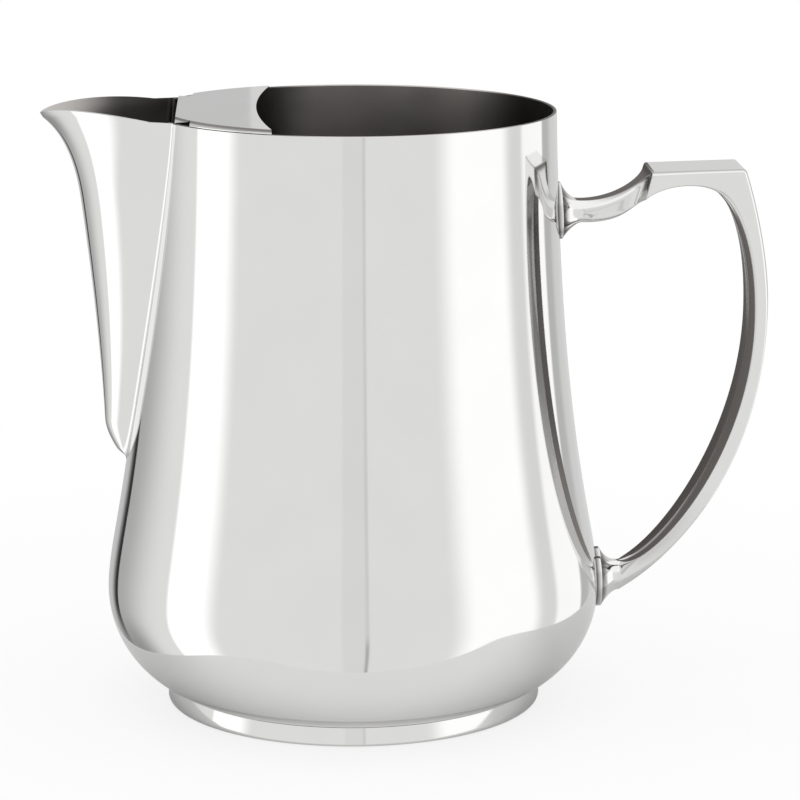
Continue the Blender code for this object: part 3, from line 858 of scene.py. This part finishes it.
class PITCHER_OT_guard(bpy.types.Operator):
    """Press the ice guard: a raised plate whose flange rests on the rim under a crease painted dark
    as shadow
    """

    bl_idname = "pitcher.build_guard"
    bl_label = "Build Ice Guard"

    def execute(self, context):
        settings = context.scene.pitcher
        guard, body = settings.guard, settings.body
        top = body.rim_height + guard.rise
        bm = bmesh.new()
        patina_and_shade = bm.verts.layers.float.new("patina_and_shade")
        outer = body.rim_radius - guard.gap
        flat = outer - guard.flange
        fade = [guard.gap * gaps for gaps in CREASE_FADE]
        bmesh.ops.create_circle(bm, cap_ends=True, radius=outer, segments=GUARD_TURNS)
        # A round plate: the flange, the crease between two fine rings, painted dark as the shadow of
        # the gap under the plate, and the raised middle
        for inset in (guard.flange - guard.crease - guard.gap, guard.gap, guard.crease, guard.gap):
            cap = max(bm.faces, key=lambda face: face.calc_area())
            bmesh.ops.inset_region(bm, faces=[cap], thickness=inset, use_boundary=True,
                                   use_even_offset=True)
        for vert in bm.verts:
            reach = math.hypot(vert.co.x, vert.co.y)
            down = min(1.0, max(0.0, (reach - flat) / guard.crease))
            vert.co.z = top - (guard.rise - guard.sheet - guard.gap) * down
            # The crease is painted dark as the shadow of the gap under the plate
            from_crease = abs(reach - flat - guard.crease / 2) - guard.crease / 2
            vert[patina_and_shade] = 1.0 - smooth(*fade, from_crease)
        front = guard.front_inset - body.rim_radius
        start = guard.flange_inset - body.rim_radius
        back = guard.back_inset - body.rim_radius

        def slice_at(place, way, faces, clear_low=False, clear_high=False):
            edges = dict.fromkeys(edge for face in faces for edge in face.edges)
            verts = dict.fromkeys(vert for face in faces for vert in face.verts)
            bmesh.ops.bisect_plane(bm, geom=[*verts, *edges, *faces], dist=SAME_POINT,
                                   plane_co=place, plane_no=way, clear_inner=clear_low,
                                   clear_outer=clear_high)

        # Straight front and back edges, and front corners that slant from the rim to the crease
        across = (1.0, 0.0, 0.0)
        slice_at((front, 0.0, 0.0), across, list(bm.faces), clear_low=True)
        slice_at((back, 0.0, 0.0), across, list(bm.faces), clear_high=True)
        slice_at((start, 0.0, 0.0), across, list(bm.faces))
        corner = math.sqrt(outer**2 - front**2)
        lean = (math.sqrt(flat**2 - start**2) - corner) / (start - front)
        for side in (-1.0, 1.0):
            ahead = [face for face in bm.faces if face.calc_center_median().x < start]
            slice_at((front, side * corner, 0.0), (-lean, side, 0.0), ahead)
        notch = []
        for face in bm.faces:
            centre = face.calc_center_median()
            if centre.x < start and abs(centre.y) > corner + lean * (centre.x - front):
                notch.append(face)
        bmesh.ops.delete(bm, geom=notch, context="FACES")
        # The back edge drawn into its hollow
        chord = [edge for edge in bm.edges
                 if all(abs(vert.co.x - back) < ON_PLANE for vert in edge.verts)]
        longest = max(chord, key=lambda edge: edge.calc_length())
        half = longest.calc_length() / 2
        bmesh.ops.subdivide_edges(bm, edges=[longest], cuts=HOLLOW_CUTS)
        for vert in bm.verts:
            if abs(vert.co.x - back) < ON_PLANE:
                vert.co.x -= guard.hollow * max(0.0, 1.0 - (vert.co.y / half)**2)
        bmesh.ops.remove_doubles(bm, verts=bm.verts, dist=guard.gap / 10)
        pressed = bmesh.ops.extrude_face_region(bm, geom=list(bm.faces), use_keep_orig=True)
        under = [item for item in pressed["geom"] if isinstance(item, bmesh.types.BMVert)]
        bmesh.ops.translate(bm, verts=under, vec=(0.0, 0.0, -guard.sheet))
        bmesh.ops.recalc_face_normals(bm, faces=bm.faces)
        polish = polished_metal("polished_guard", settings.finish, GUARD_LINES, GUARD_HAZE)
        piece = finish_piece("ice_guard_plate", bm, "ice_guard", "guard", polish)
        sharpen(piece, GUARD_SHARP)
        return {"FINISHED"}


# Foot


class PITCHER_OT_foot(bpy.types.Operator):
    """Spin the foot band under the body"""

    bl_idname = "pitcher.build_foot"
    bl_label = "Build Foot"

    def execute(self, context):
        settings = context.scene.pitcher
        foot, body, spout = settings.foot, settings.body, settings.spout
        centre = Vector((body.belly_radius - body.under_radius, body.clearance + body.under_radius))
        reach = body.under_radius + spout.seam * FOOT_SEAT

        def under_body(radius):
            return radius, centre.y - math.sqrt(reach**2 - (radius - centre.x)**2)

        edge = Vector((foot.bottom_radius - foot.edge, foot.edge))
        top = Vector(under_body(foot.top_radius))
        turn = (90 + FOOT_LEAN) / FOOT_EDGE_STEPS
        arc = [edge + heading(FOOT_LEAN - turn * step, foot.edge)
               for step in range(FOOT_EDGE_STEPS + 1)]
        profile = [tuple(top.lerp(arc[0], step / FOOT_SIDE_STEPS)) for step in range(FOOT_SIDE_STEPS)]
        profile += [tuple(point) for point in arc]
        profile.append((foot.bottom_radius - foot.band, 0.0))
        inner = foot.top_radius - foot.band
        profile += [under_body(inner + foot.band * step / FOOT_SEAT_STEPS)
                    for step in range(FOOT_SEAT_STEPS + 1)]
        bm = spun(profile, BODY_TURNS)
        polish = polished_metal("polished_foot", settings.finish, TURNED_LINES, SHEET_HAZE)
        piece = finish_piece("foot_band", bm, "foot_ring", "foot", polish)
        sharpen(piece, FOOT_SHARP)
        return {"FINISHED"}


# Handle


def pad_face(settings, wall, height):
    """Distance of a pad's outer face from the axis."""
    return wall.radius(height) + settings.spout.seam + settings.handle.pad_sheet


def mounts(settings, wall):
    """(height, pad radius) of the upper and the lower pad."""
    handle = settings.handle
    upper = settings.body.rim_height - handle.upper_drop
    lower = wall.belly_height + handle.lower_rise
    return (upper, handle.upper_pad), (lower, handle.lower_pad)


def wall_lean(wall, height):
    """How far the wall leans out for each unit of height, where a pad stands on it."""
    rise = 0.001
    return (wall.radius(height + rise) - wall.radius(height - rise)) / (2 * rise)


def flare(face, lean, height, radius, rise, thickness, width, reach, outer_side):
    """Sections of a round flared end, from its pad outwards; outer_side is 1 above, -1 below."""
    above = thickness / 2 + rise
    below = thickness / 2 - rise
    sections = []
    for step in range(FLARE_STEPS):
        along = 1.0 - step / FLARE_STEPS
        spread = along**FLARE_CURVE
        middle = Vector((face + reach * (1.0 - along), height))
        upward = Vector((lean * spread, 1.0)).normalized()
        top = above + (radius - above) * along**FLARE_CURVE_ABOVE
        bottom = below + (radius - below) * along**FLARE_CURVE_BELOW
        ends = (middle - upward * bottom, middle + upward * top)
        wide = width + (2 * radius - width) * spread
        sections.append(Section(*ends[::outer_side], wide, radius, radius))
    return sections


def ramp(first, last, power, steps):
    """Values from the first to the last by a power of the share along."""
    return [first + (last - first) * (step / steps)**power for step in range(steps + 1)]


def swell(first, last, steps):
    """Values that leave the first and reach the last without a kink."""
    return [first + (last - first) * smooth(0, steps, step) for step in range(steps + 1)]


def strap_line(ends, marks, pulls):
    """One face of the strap through its four stretches, with the corners between them eased."""
    line = []
    corners = []
    for index, steps in enumerate(STRAP_STEPS):
        stretch = (marks[index + 1] - marks[index]).length
        (start_heading, start_share), (end_heading, end_share) = pulls[index]
        points = bezier(ends[index], heading(start_heading, start_share * stretch),
                        heading(end_heading, end_share * stretch), ends[index + 1], steps)
        line += points[1:] if line else points
        corners.append(len(line) - 1)
    ease = STRAP_EASE_STEPS
    for corner in corners[:2]:
        first, middle, last = line[corner - ease], line[corner], line[corner + ease]
        for step in range(-ease, ease + 1):
            along = (step + ease) / (2 * ease)
            rest = 1.0 - along
            line[corner + step] = first * rest**2 + middle * 2 * along * rest + last * along**2
    return line


def handle_stations(settings, wall):
    """The sections of the handle, from the upper pad down to the lower one."""
    handle, body, seam = settings.handle, settings.body, settings.spout.seam
    (upper, upper_radius), (lower, lower_radius) = mounts(settings, wall)
    upper_face, lower_face = (pad_face(settings, wall, height) for height in (upper, lower))
    upper_end = upper_face + seam
    lower_end = lower_face + seam
    half_neck = Vector((0.0, handle.neck_thickness / 2))
    half_tail = Vector((0.0, handle.tail_thickness / 2))
    neck = Vector((upper_end + handle.flare_length, upper))
    heel = Vector((upper_end + handle.rest_run, body.rim_height - handle.rest_drop))
    corner = heel + Vector((handle.rest_length, handle.rest_rise))
    apex = Vector((body.belly_radius + handle.grip_standoff, body.rim_height - handle.grip_drop))
    tail = Vector((lower_end + handle.tail_length, lower + handle.tail_rise))
    under = [handle.thickness * Vector(place) for place in (HEEL_UNDER, CORNER_UNDER, GRIP_UNDER)]
    marks = (neck, heel, corner, apex, tail)
    outer = strap_line((neck + half_neck, heel, corner, apex, tail - half_tail), marks, OUTER_PULLS)
    inner = strap_line((neck - half_neck, heel + under[0], corner + under[1], apex + under[2],
                        tail + half_tail), marks, INNER_PULLS)
    arm, rest, bend, sweep = STRAP_STEPS
    widths = (ramp(handle.neck_width, handle.rest_width, ARM_SPREAD, arm)
              + [handle.rest_width] * rest
              + swell(handle.rest_width, handle.grip_width, bend)[1:]
              + ramp(handle.grip_width, handle.tail_width, TAIL_NARROWING, sweep)[1:])
    outer_edges, inner_edges = (
        ramp(handle.neck_thickness / 2, edge, ARM_SQUARING, arm) + [edge] * (rest + bend)
        + ramp(edge, handle.tail_thickness / 2, TAIL_ROUNDING, sweep)[1:]
        for edge in (handle.edge, handle.inner_edge))
    # How fully each section keeps its cast form: the inner face's roof and bead, and the darkening of
    # its edges and inner face, scale with it
    rough = swell(0.0, 1.0, arm // 2) + [1.0] * (arm - arm // 2 + rest + bend)
    rough += ramp(1.0, 0.0, TAIL_ROUNDING, sweep)[1:]
    # Painted shade in the heel's crease, strongest on the arm near the heel
    crease = [smooth(*HEEL_FADE, step / arm) for step in range(arm)]
    crease += [0.0] * (len(rough) - arm)
    clear = seam * PAD_SEAT
    start = flare(upper_face + clear, wall_lean(wall, upper), upper,
                  upper_radius - handle.flare_inset, 0.0, handle.neck_thickness,
                  handle.neck_width, handle.flare_length, 1)
    end = flare(lower_face + clear, wall_lean(wall, lower), lower,
                lower_radius - handle.flare_inset, handle.tail_rise, handle.tail_thickness,
                handle.tail_width, handle.tail_length, -1)
    strap = zip(inner, outer, widths, outer_edges, inner_edges, rough, crease)
    return start + [Section(*station) for station in strap] + end[::-1]


# Corners of a section, as sides across and out, and the points along the face after each corner:
# the outer face, a side, the inner face with its bead in the middle, and the other side
CORNER_SIDES = ((1, 1), (-1, 1), (-1, -1), (1, -1))
FACE_POINTS = (
    (0.03, 0.25, 0.5, 0.75, 0.97),
    (0.12, 0.5, 0.88),
    (0.03, 0.25, 0.485, 0.5, 0.515, 0.75, 0.97),
    (0.12, 0.5, 0.88),
)
INNER_FACE = 2


def section_places():
    """(corner, arc share, face share) of each point round a section; arcs have no face share."""
    places = []
    for corner, face in enumerate(FACE_POINTS):
        places += [(corner, step / CORNER_STEPS, None) for step in range(CORNER_STEPS + 1)]
        places += [(corner, 1.0, along) for along in face]
    return places


class Section:
    """A rounded section of the handle that stands between its inner and outer lines."""

    def __init__(self, inner, outer, width, outer_edge, inner_edge, rough=0.0, crease=0.0):
        self.middle = (inner + outer) / 2
        self.out = (outer - inner).normalized()
        self.tall = (outer - inner).length / 2
        self.half = width / 2
        limit = EDGE_LIMIT * min(self.tall, self.half)
        self.edges = [min(edge, limit) for edge in (outer_edge, outer_edge, inner_edge, inner_edge)]
        self.rough = rough
        self.crease = crease

    def on_arc(self, number, turn):
        """A point on the rounding of a corner, by its share of the quarter turn."""
        side, up = CORNER_SIDES[number]
        radius = self.edges[number]
        turned = math.pi / 2 * (number + turn)
        return Vector((side * (self.half - radius) + radius * math.cos(turned),
                       up * (self.tall - radius) + radius * math.sin(turned)))

    def point(self, place, handle):
        """A point round the section, and how dark its patina and painted shade make it."""
        corner, turn, along = place
        flat = self.on_arc(corner, turn)
        from_outer = {0: 1.0 - turn, 1: turn}.get(corner, 1.0)
        inward = {2: NEAR_PATINA_AND_SHADE * turn, 3: FAR_PATINA_AND_SHADE * (1.0 - turn)}.get(corner, 0.0)
        # The outer edges are darker next to the outer face; the inner edges take the inner face's
        # patina and painted shade
        darkened = self.rough * (EDGE_DARKENING * (1.0 - smooth(*EDGE_FADE, from_outer)) + inward)
        if along is not None:
            flat = flat.lerp(self.on_arc((corner + 1) % 4, 0.0), along)
            darkened = 0.0
            # The inner face is patina with painted shade: its far half is painted darker as the
            # shaded side, and the bead stays clean
            if corner == INNER_FACE:
                roof = 1.0 - abs(2.0 * along - 1.0)
                half = NEAR_PATINA_AND_SHADE if along < 0.5 else FAR_PATINA_AND_SHADE
                darkened = self.rough * (0.0 if along == 0.5 else half)
                flat.y -= self.rough * (handle.ridge * roof + (handle.bead if along == 0.5 else 0.0))
        from_top = (self.tall - flat.y) / (2.0 * self.tall)
        # Painted shade in the heel's crease, fading down from the strap's top
        darkened = max(darkened, self.crease * (1.0 - smooth(*TOP_FADE, from_top)))
        spot = self.middle + self.out * flat.y
        return Vector((spot.x, flat.x, spot.y)), darkened


class PITCHER_OT_handle(bpy.types.Operator):
    """Loft the cast strap handle from its upper flare to its lower one"""

    bl_idname = "pitcher.build_handle"
    bl_label = "Build Handle"

    def execute(self, context):
        settings = context.scene.pitcher
        stations = handle_stations(settings, fine_wall(settings.body))
        places = section_places()
        last = len(stations) - 1
        bm = bmesh.new()
        bmesh.ops.create_grid(bm, x_segments=len(places), y_segments=last, size=1.0)
        patina_and_shade = bm.verts.layers.float.new("patina_and_shade")
        for vert in bm.verts:
            place = round((vert.co.x + 1.0) / 2.0 * len(places)) % len(places)
            station = round((vert.co.y + 1.0) / 2.0 * last)
            vert.co, darkened = stations[station].point(places[place], settings.handle)
            from_end = min(station, last - station)
            # Painted shade where the flared ends join the pads
            vert[patina_and_shade] = max(darkened, 1.0 - smooth(*END_FADE, from_end))
        bmesh.ops.remove_doubles(bm, verts=bm.verts, dist=SAME_POINT)
        ends = [edge for edge in bm.edges if edge.is_boundary]
        bmesh.ops.holes_fill(bm, edges=ends, sides=0)
        if any(edge.is_boundary for edge in bm.edges):
            raise RuntimeError("the handle's ends stay open")
        bmesh.ops.recalc_face_normals(bm, faces=bm.faces)
        polish = polished_metal("polished_handle", settings.finish, STRAP_LINES, CAST_HAZE, cast=True)
        piece = finish_piece("strap_handle", bm, "handle", "handle", polish)
        sharpen(piece, HANDLE_SHARP)
        return {"FINISHED"}


class PITCHER_OT_pads(bpy.types.Operator):
    """Turn the two pads that carry the handle and seat them on the wall"""

    bl_idname = "pitcher.build_pads"
    bl_label = "Build Pads"

    def execute(self, context):
        settings = context.scene.pitcher
        handle, seam = settings.handle, settings.spout.seam
        wall = fine_wall(settings.body)
        names = (("upper_pad", "upper_handle_plate", "upper_plate"),
                 ("lower_pad", "lower_handle_plate", "lower_plate"))
        rounding = handle.pad_sheet * PAD_EDGE
        for (height, radius), (name, node, slot) in zip(mounts(settings, wall), names):
            profile = [(0.0, 0.0), (radius / 2, 0.0), (radius - rounding * 2, 0.0)]
            turn = Vector((radius - rounding, -rounding))
            profile += [tuple(turn + heading(90 - 90 * step / PAD_EDGE_STEPS, rounding))
                        for step in range(PAD_EDGE_STEPS + 1)]
            profile += [(radius * (1.0 - ring / PAD_RINGS), -handle.pad_sheet)
                        for ring in range(PAD_RINGS + 1)]
            bm = spun(profile, PAD_TURNS)
            patina_and_shade = bm.verts.layers.float.new("patina_and_shade")
            # Painted shade on the pad's back, where it meets the wall, and on its face under the
            # flare; the rounded rim stays clean
            seated = [vert for vert in bm.verts if vert.co.z < -handle.pad_sheet + ON_PLANE]
            faced = [vert for vert in bm.verts if vert.co.z > -ON_PLANE]
            for vert in seated + faced:
                vert[patina_and_shade] = 1.0
            outward = Vector((1.0, 0.0, -wall_lean(wall, height)))
            bmesh.ops.rotate(bm, verts=bm.verts, cent=(0.0, 0.0, 0.0),
                             matrix=Matrix.Rotation(math.atan2(outward.x, outward.z), 3, "Y"))
            bmesh.ops.translate(bm, verts=bm.verts,
                                vec=(pad_face(settings, wall, height), 0.0, height))
            for vert in seated:
                reach = wall.radius(vert.co.z) + seam * PAD_SEAT
                vert.co.x = math.sqrt(reach**2 - vert.co.y**2)
            bmesh.ops.recalc_face_normals(bm, faces=bm.faces)
            polish = polished_metal("polished_" + name, settings.finish, PAD_LINES, CAST_HAZE,
                                    cast=True)
            sharpen(finish_piece(name, bm, node, slot, polish), PAD_SHARP)
        return {"FINISHED"}


# Stage

# Soft boxes and plain walls round the table: azimuth in degrees from the camera's side towards
# the handle, as (start, start softness, end, end softness), and the wall's level
STUDIO_WALLS = (
    ((-200.0, 1.0, -122.0, 20.0), 0.50),
    ((-200.0, 1.0, -150.0, 4.0), 0.60),
    ((-153.0, 6.0, -145.0, 0.5), 0.03),
    ((-97.0, 1.2, -71.0, 6.0), 1.42),
    ((-7.0, 1.0, 4.4, 0.4), 0.89),
    ((3.8, 0.4, 5.4, 0.4), 0.78),
    ((50.0, 8.0, 92.5, 4.5), 1.34),
    ((97.0, 3.0, 107.0, 2.5), 0.88),
    ((107.0, 2.5, 131.0, 1.5), 1.26),
    ((131.0, 1.5, 200.0, 1.0), 0.58),
    ((142.0, 4.0, 200.0, 1.0), 0.74),
)
PLAIN_WALL = 0.95

# Tones of the felt, depth of the floor under the foot and roundings of the stage's sheets
FELT_TONES = ((0.15, 0.138, 0.13, 1.0), (0.19, 0.175, 0.165, 1.0))
FLOOR_DEPTH = 0.0004
TABLE_ROUNDING = 0.04
FLAG_ROUNDING = 0.005
SHEET_CORNER_SEGMENTS = 16

# Width of the camera's frame in millimetres, and the distance from which it sees
FRAME_WIDTH = 36.0
CLIP_START = 0.01

# White of the table: its share, and the stretch towards the camera in which it comes up
TABLE_WHITE = 0.70
TABLE_RANGE = (0.02, 0.08)

# White of the floor: its share at the foot, and the stretch outward in which it reaches 1
FLOOR_WHITE = 0.80
FLOOR_RANGE = (0.15, 0.38)

# The dim low back of the room, the seam under the front wall and the ceiling: azimuth as above,
# elevation in degrees in the same way, and the level
STUDIO_CARDS = (
    ((-240.0, 1.0, -125.0, 15.0), (-100.0, 1.0, -22.0, 8.0), 0.36),
    ((125.0, 15.0, 240.0, 1.0), (-100.0, 1.0, -22.0, 8.0), 0.36),
    ((3.8, 0.4, 5.4, 0.4), (-100.0, 1.0, -10.0, 6.0), 0.52),
    ((-240.0, 1.0, 240.0, 1.0), (30.0, 10.0, 100.0, 1.0), 1.20),
)


def between(value, start, start_soft, end, end_soft):
    """1 between two soft edges and 0 outside them."""
    opened = value.step(start - start_soft, start + start_soft)
    return opened * (1.0 - value.step(end - end_soft, end + end_soft))


def light_studio():
    """Soft walls that the polish mirrors; the camera sees them white."""
    world = bpy.data.worlds.new("studio")
    bpy.context.scene.world = world
    recipe = Recipe(world)
    way = recipe.node("TexCoord", output="Generated")
    parts = recipe.node("SeparateXYZ", {}, {0: way}).socket.node.outputs
    east, north, up = (Wire(recipe, parts[name]) for name in "XYZ")
    around = east.math("ARCTAN2", east, 0.0 - north) * math.degrees(1.0)
    rise = up.math("ARCSINE", up) * math.degrees(1.0)
    level = PLAIN_WALL
    for sides, wall in STUDIO_WALLS:
        level = level + (wall - level) * between(around, *sides)
    for sides, heights, card in STUDIO_CARDS:
        level = level + (card - level) * between(around, *sides) * between(rise, *heights)
    path = recipe.node("LightPath").socket.node.outputs
    strength = level + (1.0 - level) * Wire(recipe, path["Is Camera Ray"])
    white = recipe.node("Background", {}, {"Color": (1.0, 1.0, 1.0, 1.0), "Strength": strength})
    recipe.node("OutputWorld", {}, {"Surface": white})


def lay_sheet(name, low, high, rounding, material):
    """A flat sheet of the stage with rounded corners, as wide as the box of two corners."""
    low, high = Vector(low), Vector(high)
    bm = bmesh.new()
    bmesh.ops.create_grid(bm, x_segments=1, y_segments=1, size=0.5)
    if low.y == high.y:
        bmesh.ops.rotate(bm, verts=bm.verts, cent=(0.0, 0.0, 0.0),
                         matrix=Matrix.Rotation(math.pi / 2, 3, "X"))
    bmesh.ops.scale(bm, verts=bm.verts, vec=high - low)
    bmesh.ops.translate(bm, verts=bm.verts, vec=(low + high) / 2)
    bmesh.ops.bevel(bm, geom=list(bm.verts), offset=rounding, segments=SHEET_CORNER_SEGMENTS,
                    affect="VERTICES", profile=0.5, material=-1)
    mesh = bpy.data.meshes.new(name)
    bm.to_mesh(mesh)
    bm.free()
    mesh.materials.append(material)
    sheet = bpy.data.objects.new(name, mesh)
    bpy.context.scene.collection.objects.link(sheet)
    return sheet


def pale_paper(name, tone, white_share):
    """Matt paper that shows white to the share that a function of its recipe gives."""
    material = bpy.data.materials.new(name)
    recipe = Recipe(material)
    cloud = recipe.noise(PAPER_CLOUD, detail=3.0)
    grain = recipe.blend(cloud, *(tinted(tone, level) for level in PAPER_TONES))
    paper = recipe.node("BsdfDiffuse", {}, {"Color": grain})
    white = recipe.node("Emission", {}, {"Color": (1.0, 1.0, 1.0, 1.0), "Strength": 1.0})
    path = recipe.node("LightPath").socket.node.outputs
    camera, glossy, through = (Wire(recipe, path["Is " + kind + " Ray"])
                               for kind in ("Camera", "Glossy", "Transmission"))
    factor = white_share(recipe) * (camera + glossy + through)
    mixed = recipe.node("MixShader", {}, {0: factor, 1: paper, 2: white})
    recipe.node("OutputMaterial", {}, {"Surface": mixed})
    return material


def front_light(recipe):
    """Light on the table that falls off from the camera's side to the back."""
    north = recipe.node("SeparateXYZ", {}, {0: recipe.places((1.0,) * 3)}, "Y")
    return TABLE_WHITE * (0.0 - north).step(*TABLE_RANGE)


def fade_out(recipe):
    """A floor that runs out into white."""
    sockets = {0: recipe.places((1.0,) * 3)}
    reach = recipe.node("VectorMath", {"operation": "LENGTH"}, sockets, "Value")
    return FLOOR_WHITE + (1.0 - FLOOR_WHITE) * reach.step(*FLOOR_RANGE)


def mirror_only(thing):
    """Leaves a piece of the stage to the metal's reflections."""
    thing.visible_camera = False
    thing.visible_diffuse = False
    thing.visible_shadow = False


def dark_felt():
    material = bpy.data.materials.new("dark_felt")
    recipe = Recipe(material)
    nap = recipe.noise(FELT_NAP, detail=3.0)
    felt = recipe.blend(nap, *FELT_TONES)
    shown = recipe.node("Emission", {}, {"Color": felt, "Strength": 1.0})
    recipe.node("OutputMaterial", {}, {"Surface": shown})
    return material


def lay_floor(studio):
    """The floor that runs out into white; the metal mirrors a table and a dark flag instead."""
    reach = studio.floor_reach
    floor = pale_paper("floor_paper", studio.floor, fade_out)
    lay_sheet("floor", (AXIS - reach, -reach, -FLOOR_DEPTH), (AXIS + reach, reach, -FLOOR_DEPTH),
              reach / 2, floor).visible_glossy = False
    table = pale_paper("table_paper", studio.table, front_light)
    mirror_only(lay_sheet("table", studio.table_low, studio.table_high, TABLE_ROUNDING, table))
    mirror_only(lay_sheet("flag", studio.flag_low, studio.flag_high, FLAG_ROUNDING, dark_felt()))


class PITCHER_OT_stage(bpy.types.Operator):
    """Set the camera, the pale floor and the soft studio walls"""

    bl_idname = "pitcher.build_stage"
    bl_label = "Build Stage"

    def execute(self, context):
        scene = context.scene
        studio = scene.pitcher.studio
        scene.view_settings.view_transform = "Standard"
        light_studio()
        lay_floor(studio)
        lens = bpy.data.cameras.new("camera")
        lens.lens = studio.lens
        lens.sensor_width = FRAME_WIDTH
        lens.clip_start = CLIP_START
        camera = bpy.data.objects.new("camera", lens)
        camera.location = Vector(studio.place) + Vector((AXIS, 0.0, 0.0))
        camera.rotation_euler = (math.pi / 2 - studio.tilt, 0.0, -studio.swing)
        scene.collection.objects.link(camera)
        scene.camera = camera
        return {"FINISHED"}


class PITCHER_PT_panel(bpy.types.Panel):
    """The pitcher's pieces and settings"""

    bl_idname = "PITCHER_PT_panel"
    bl_label = "Water Pitcher"
    bl_space_type = "VIEW_3D"
    bl_region_type = "UI"
    bl_category = "Pitcher"

    def draw(self, context):
        settings = context.scene.pitcher
        for builder in BUILDERS:
            self.layout.operator(builder.bl_idname)
        for group in (settings.body, settings.spout, settings.guard, settings.foot,
                      settings.handle, settings.finish, settings.studio):
            box = self.layout.box()
            for name in group.__annotations__:
                box.prop(group, name)


BUILDERS = (
    PITCHER_OT_body,
    PITCHER_OT_spout,
    PITCHER_OT_guard,
    PITCHER_OT_foot,
    PITCHER_OT_handle,
    PITCHER_OT_pads,
    PITCHER_OT_stage,
)
GROUPS = (
    PitcherBody,
    PitcherSpout,
    PitcherGuard,
    PitcherFoot,
    PitcherHandle,
    PitcherFinish,
    PitcherStudio,
    PitcherSettings,
)
CLASSES = GROUPS + BUILDERS + (PITCHER_PT_panel,)


def register():
    for item in CLASSES:
        bpy.utils.register_class(item)
    bpy.types.Scene.pitcher = bpy.props.PointerProperty(type=PitcherSettings)


def unregister():
    del bpy.types.Scene.pitcher
    for item in reversed(CLASSES):
        bpy.utils.unregister_class(item)


def main():
    register()
    bpy.ops.pitcher.build_body()
    bpy.ops.pitcher.build_spout()
    bpy.ops.pitcher.build_guard()
    bpy.ops.pitcher.build_foot()
    bpy.ops.pitcher.build_handle()
    bpy.ops.pitcher.build_pads()
    bpy.ops.pitcher.build_stage()


if __name__ == "__main__":
    main()
